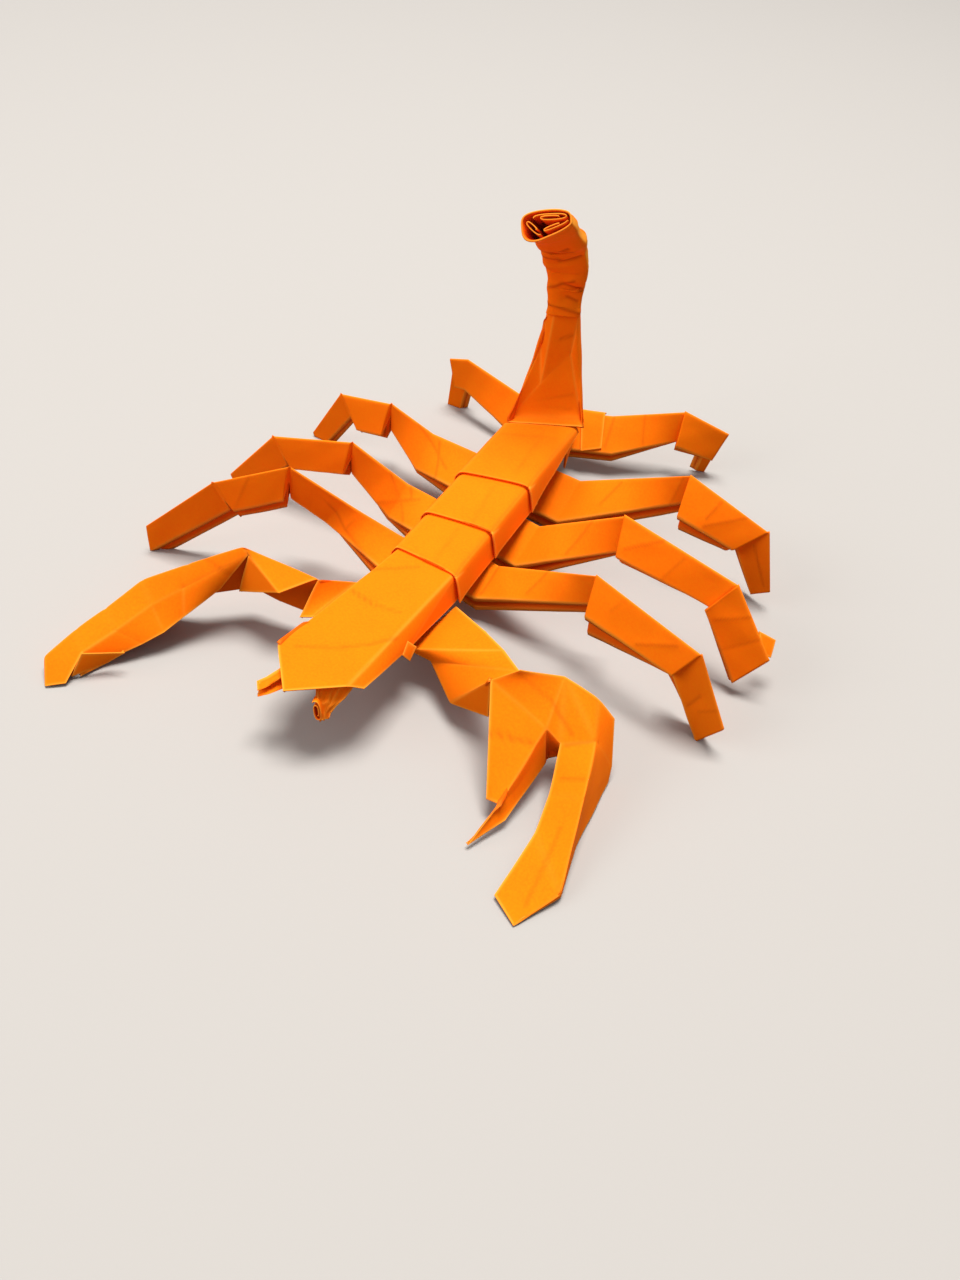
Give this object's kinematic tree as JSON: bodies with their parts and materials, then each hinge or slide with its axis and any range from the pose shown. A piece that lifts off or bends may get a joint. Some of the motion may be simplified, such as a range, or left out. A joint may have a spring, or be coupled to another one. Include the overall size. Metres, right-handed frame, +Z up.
{
  "type": "origami scorpion",
  "caption": "Decorative scorpion folded from coloured paper, with a pleated back, bent legs, an open and a closed claw, and a tall tail that hooks forward over the back.",
  "frame": {"origin": "centre of the bounding box at its base, on the table the feet stand on", "axes": "+X towards the side with the open claw; +Y from head to tail; +Z up"},
  "size_m": [0.1298, 0.1406, 0.0712],
  "materials": {
    "paper": "matte"
  },
  "bodies": {
    "root": {"scorpion": "paper"}
  },
  "joints": []
}
